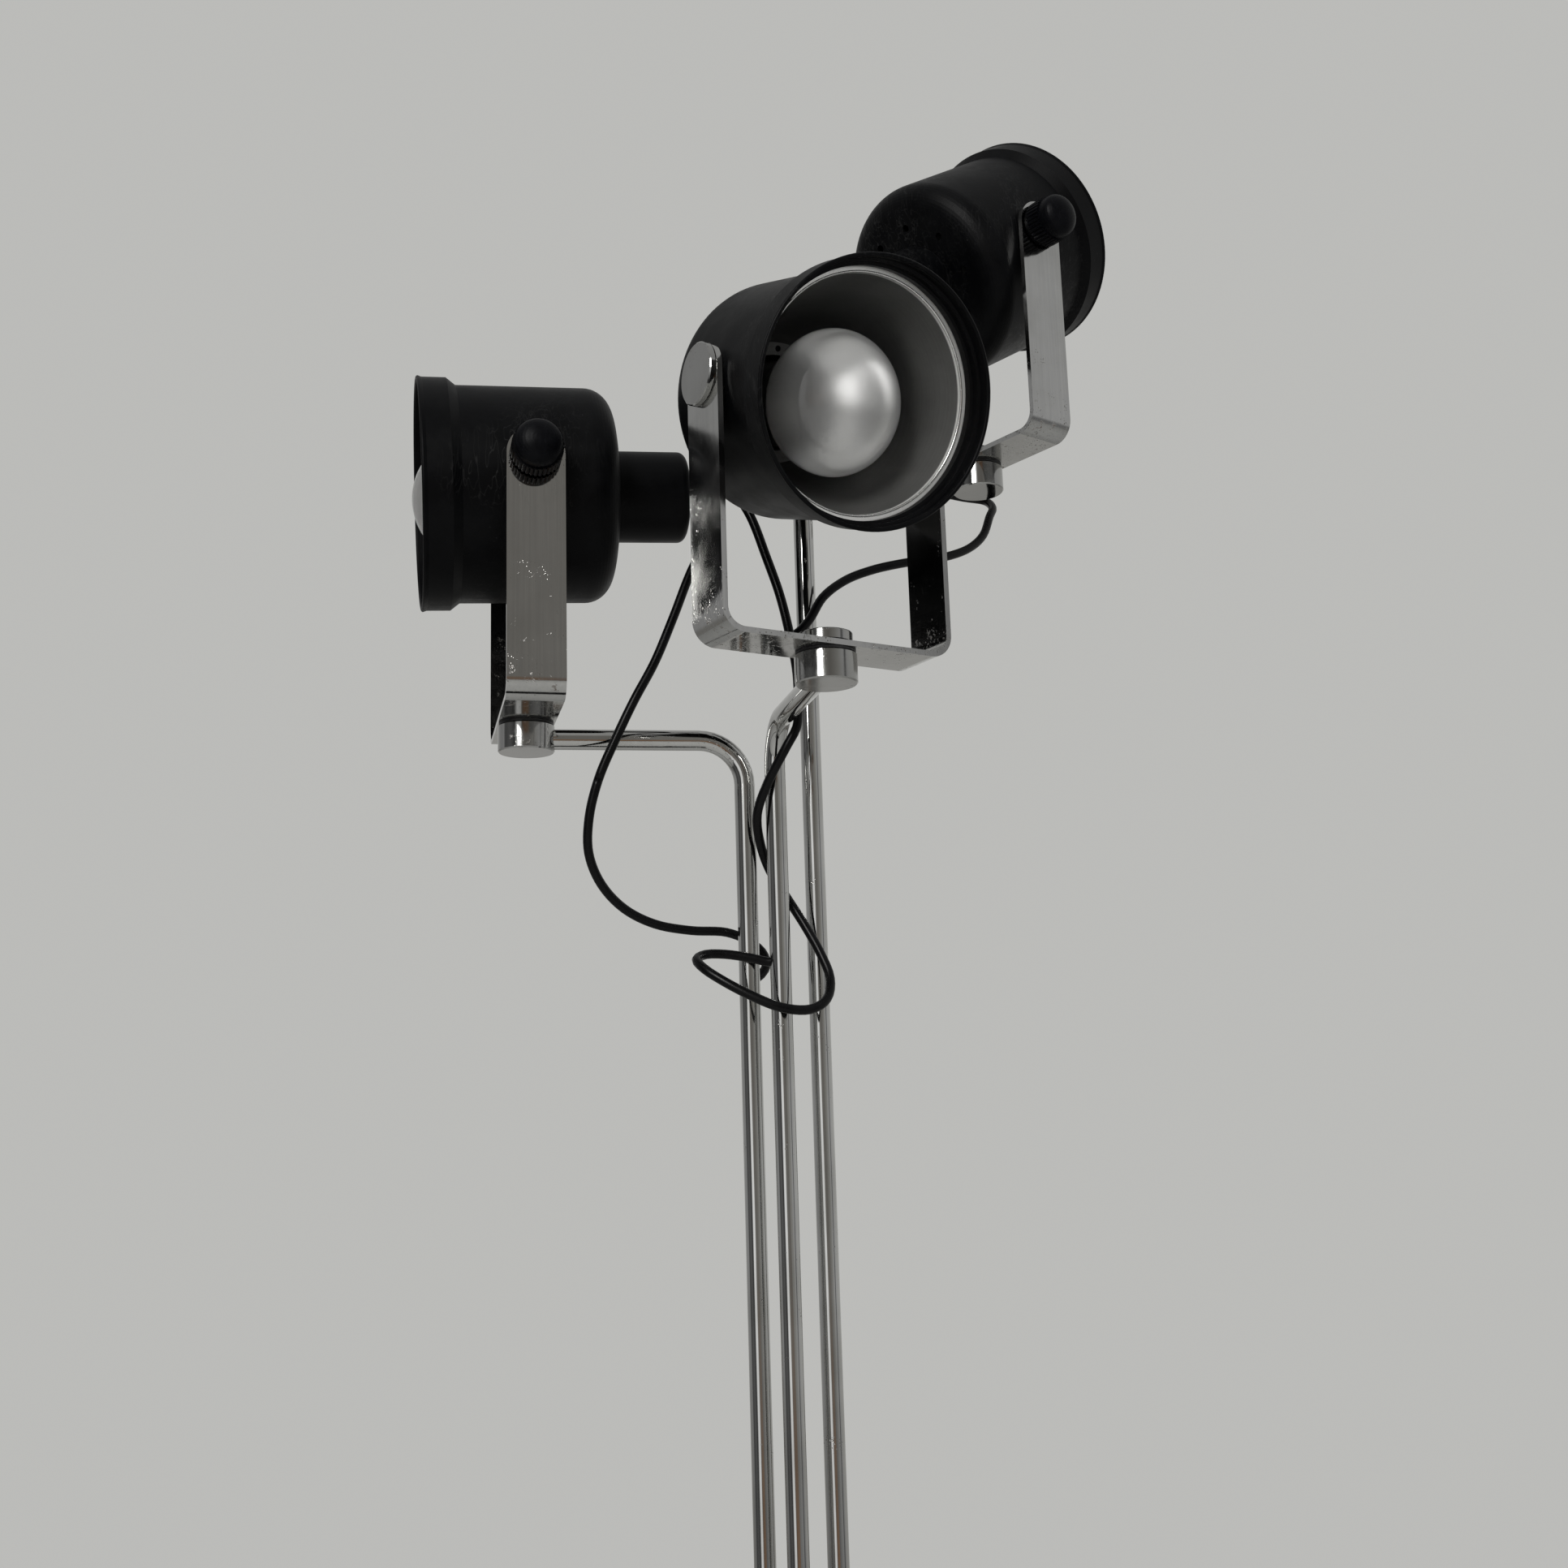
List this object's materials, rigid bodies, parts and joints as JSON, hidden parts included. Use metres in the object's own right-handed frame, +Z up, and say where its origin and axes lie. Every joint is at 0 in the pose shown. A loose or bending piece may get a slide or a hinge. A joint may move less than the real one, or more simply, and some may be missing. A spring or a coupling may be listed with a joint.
{
  "type": "spotlight floor lamp",
  "caption": "Floor lamp with black can spotlights in swivelling chrome yokes, each on its own bent chrome tube, over a round weighted base.",
  "frame": {"origin": "centre of the round base's underside, on the floor", "axes": "+Z up, -Y towards the pictured side, +X to the right as the pictured side is faced"},
  "size_m": [0.3717, 0.3341, 1.5147],
  "materials": {
    "chrome": "polished, pitted and scratched",
    "black_paint": "matt, scuffed",
    "reflector_grey": "satin anodised",
    "bulb_glass": "frosted front, silvered back",
    "bulb_cap": "dull",
    "holder_black": "moulded",
    "knob_black": "smooth crown, knurled band",
    "washer_black": "moulded",
    "bush_rubber": "moulded",
    "cord_black": "smooth sheath, slight sheen",
    "zinc_steel": "zinc plated",
    "brass": "dull",
    "cast_weight": "as cast",
    "pad_rubber": "plain",
    "block_ivory": "moulded"
  },
  "bodies": {
    "stand": {"base_cover": "black_paint", "base_weight": "cast_weight", "base_pad": "pad_rubber", "post_collars": "chrome", "post_nuts": "zinc_steel", "cord_gland": "holder_black", "terminal_block": "block_ivory", "post_left": "chrome", "boss_left": "chrome", "swivel_screw_left": "chrome", "swivel_washers_left": "washer_black", "cord_left": "cord_black", "post_middle": "chrome", "boss_middle": "chrome", "swivel_screw_middle": "chrome", "swivel_washers_middle": "washer_black", "cord_middle": "cord_black", "post_right": "chrome", "boss_right": "chrome", "swivel_screw_right": "chrome", "swivel_washers_right": "washer_black", "cord_right": "cord_black"},
    "yoke_left": {"yoke_left": "chrome"},
    "head_left": {"can_left": "black_paint", "neck_left": "black_paint", "reflector_left": "reflector_grey", "lampholder_left": "holder_black", "lamp_nipple_left": "brass", "bulb_cap_left": "bulb_cap", "bulb_glass_left": "bulb_glass", "cord_bush_left": "bush_rubber", "pivot_disc_left": "chrome", "pivot_fittings_left": "zinc_steel"},
    "knob_left": {"tilt_knob_left": "knob_black"},
    "yoke_middle": {"yoke_middle": "chrome"},
    "head_middle": {"can_middle": "black_paint", "neck_middle": "black_paint", "reflector_middle": "reflector_grey", "lampholder_middle": "holder_black", "lamp_nipple_middle": "brass", "bulb_cap_middle": "bulb_cap", "bulb_glass_middle": "bulb_glass", "cord_bush_middle": "bush_rubber", "pivot_disc_middle": "chrome", "pivot_fittings_middle": "zinc_steel"},
    "knob_middle": {"tilt_knob_middle": "knob_black"},
    "yoke_right": {"yoke_right": "chrome"},
    "head_right": {"can_right": "black_paint", "neck_right": "black_paint", "reflector_right": "reflector_grey", "lampholder_right": "holder_black", "lamp_nipple_right": "brass", "bulb_cap_right": "bulb_cap", "bulb_glass_right": "bulb_glass", "cord_bush_right": "bush_rubber", "pivot_disc_right": "chrome", "pivot_fittings_right": "zinc_steel"},
    "knob_right": {"tilt_knob_right": "knob_black"}
  },
  "joints": [
    {"name": "pan_left", "type": "hinge", "parent": "stand", "child": "yoke_left", "pos_m": [-0.1194, -0.01823, 1.1737], "axis": [0, 0, 1], "range_deg": [-90, 90], "deforming": ["cord_left"]},
    {"name": "tilt_left", "type": "hinge", "parent": "yoke_left", "child": "head_left", "pos_m": [-0.1194, -0.01823, 1.2887], "axis": [-0.2334, 0.9724, 0], "range_deg": [-44.5, 62.5], "deforming": ["cord_left"]},
    {"name": "knob_turn_left", "type": "hinge", "parent": "head_left", "child": "knob_left", "pos_m": [-0.1194, -0.01823, 1.2887], "axis": [0.2334, -0.9724, 0], "range_deg": [0, 360]},
    {"name": "pan_middle", "type": "hinge", "parent": "stand", "child": "yoke_middle", "pos_m": [0.02262, -0.11231, 1.1787], "axis": [0, 0, 1], "range_deg": [-90, 90], "deforming": ["cord_middle"]},
    {"name": "tilt_middle", "type": "hinge", "parent": "yoke_middle", "child": "head_middle", "pos_m": [0.02262, -0.11231, 1.2937], "axis": [-0.8616, -0.5075, 0], "range_deg": [-28, 79], "deforming": ["cord_middle"]},
    {"name": "knob_turn_middle", "type": "hinge", "parent": "head_middle", "child": "knob_middle", "pos_m": [0.02262, -0.11231, 1.2937], "axis": [0.8616, 0.5075, 0], "range_deg": [0, 360]},
    {"name": "pan_right", "type": "hinge", "parent": "stand", "child": "yoke_right", "pos_m": [0.11216, 0.05437, 1.3247], "axis": [0, 0, 1], "range_deg": [-90, 90], "deforming": ["cord_right"]},
    {"name": "tilt_right", "type": "hinge", "parent": "yoke_right", "child": "head_right", "pos_m": [0.11216, 0.05437, 1.4397], "axis": [0.6088, -0.7934, 0], "range_deg": [-78.5, 28.5], "deforming": ["cord_right"]},
    {"name": "knob_turn_right", "type": "hinge", "parent": "head_right", "child": "knob_right", "pos_m": [0.11216, 0.05437, 1.4397], "axis": [0.6088, -0.7934, 0], "range_deg": [0, 360]}
  ]
}
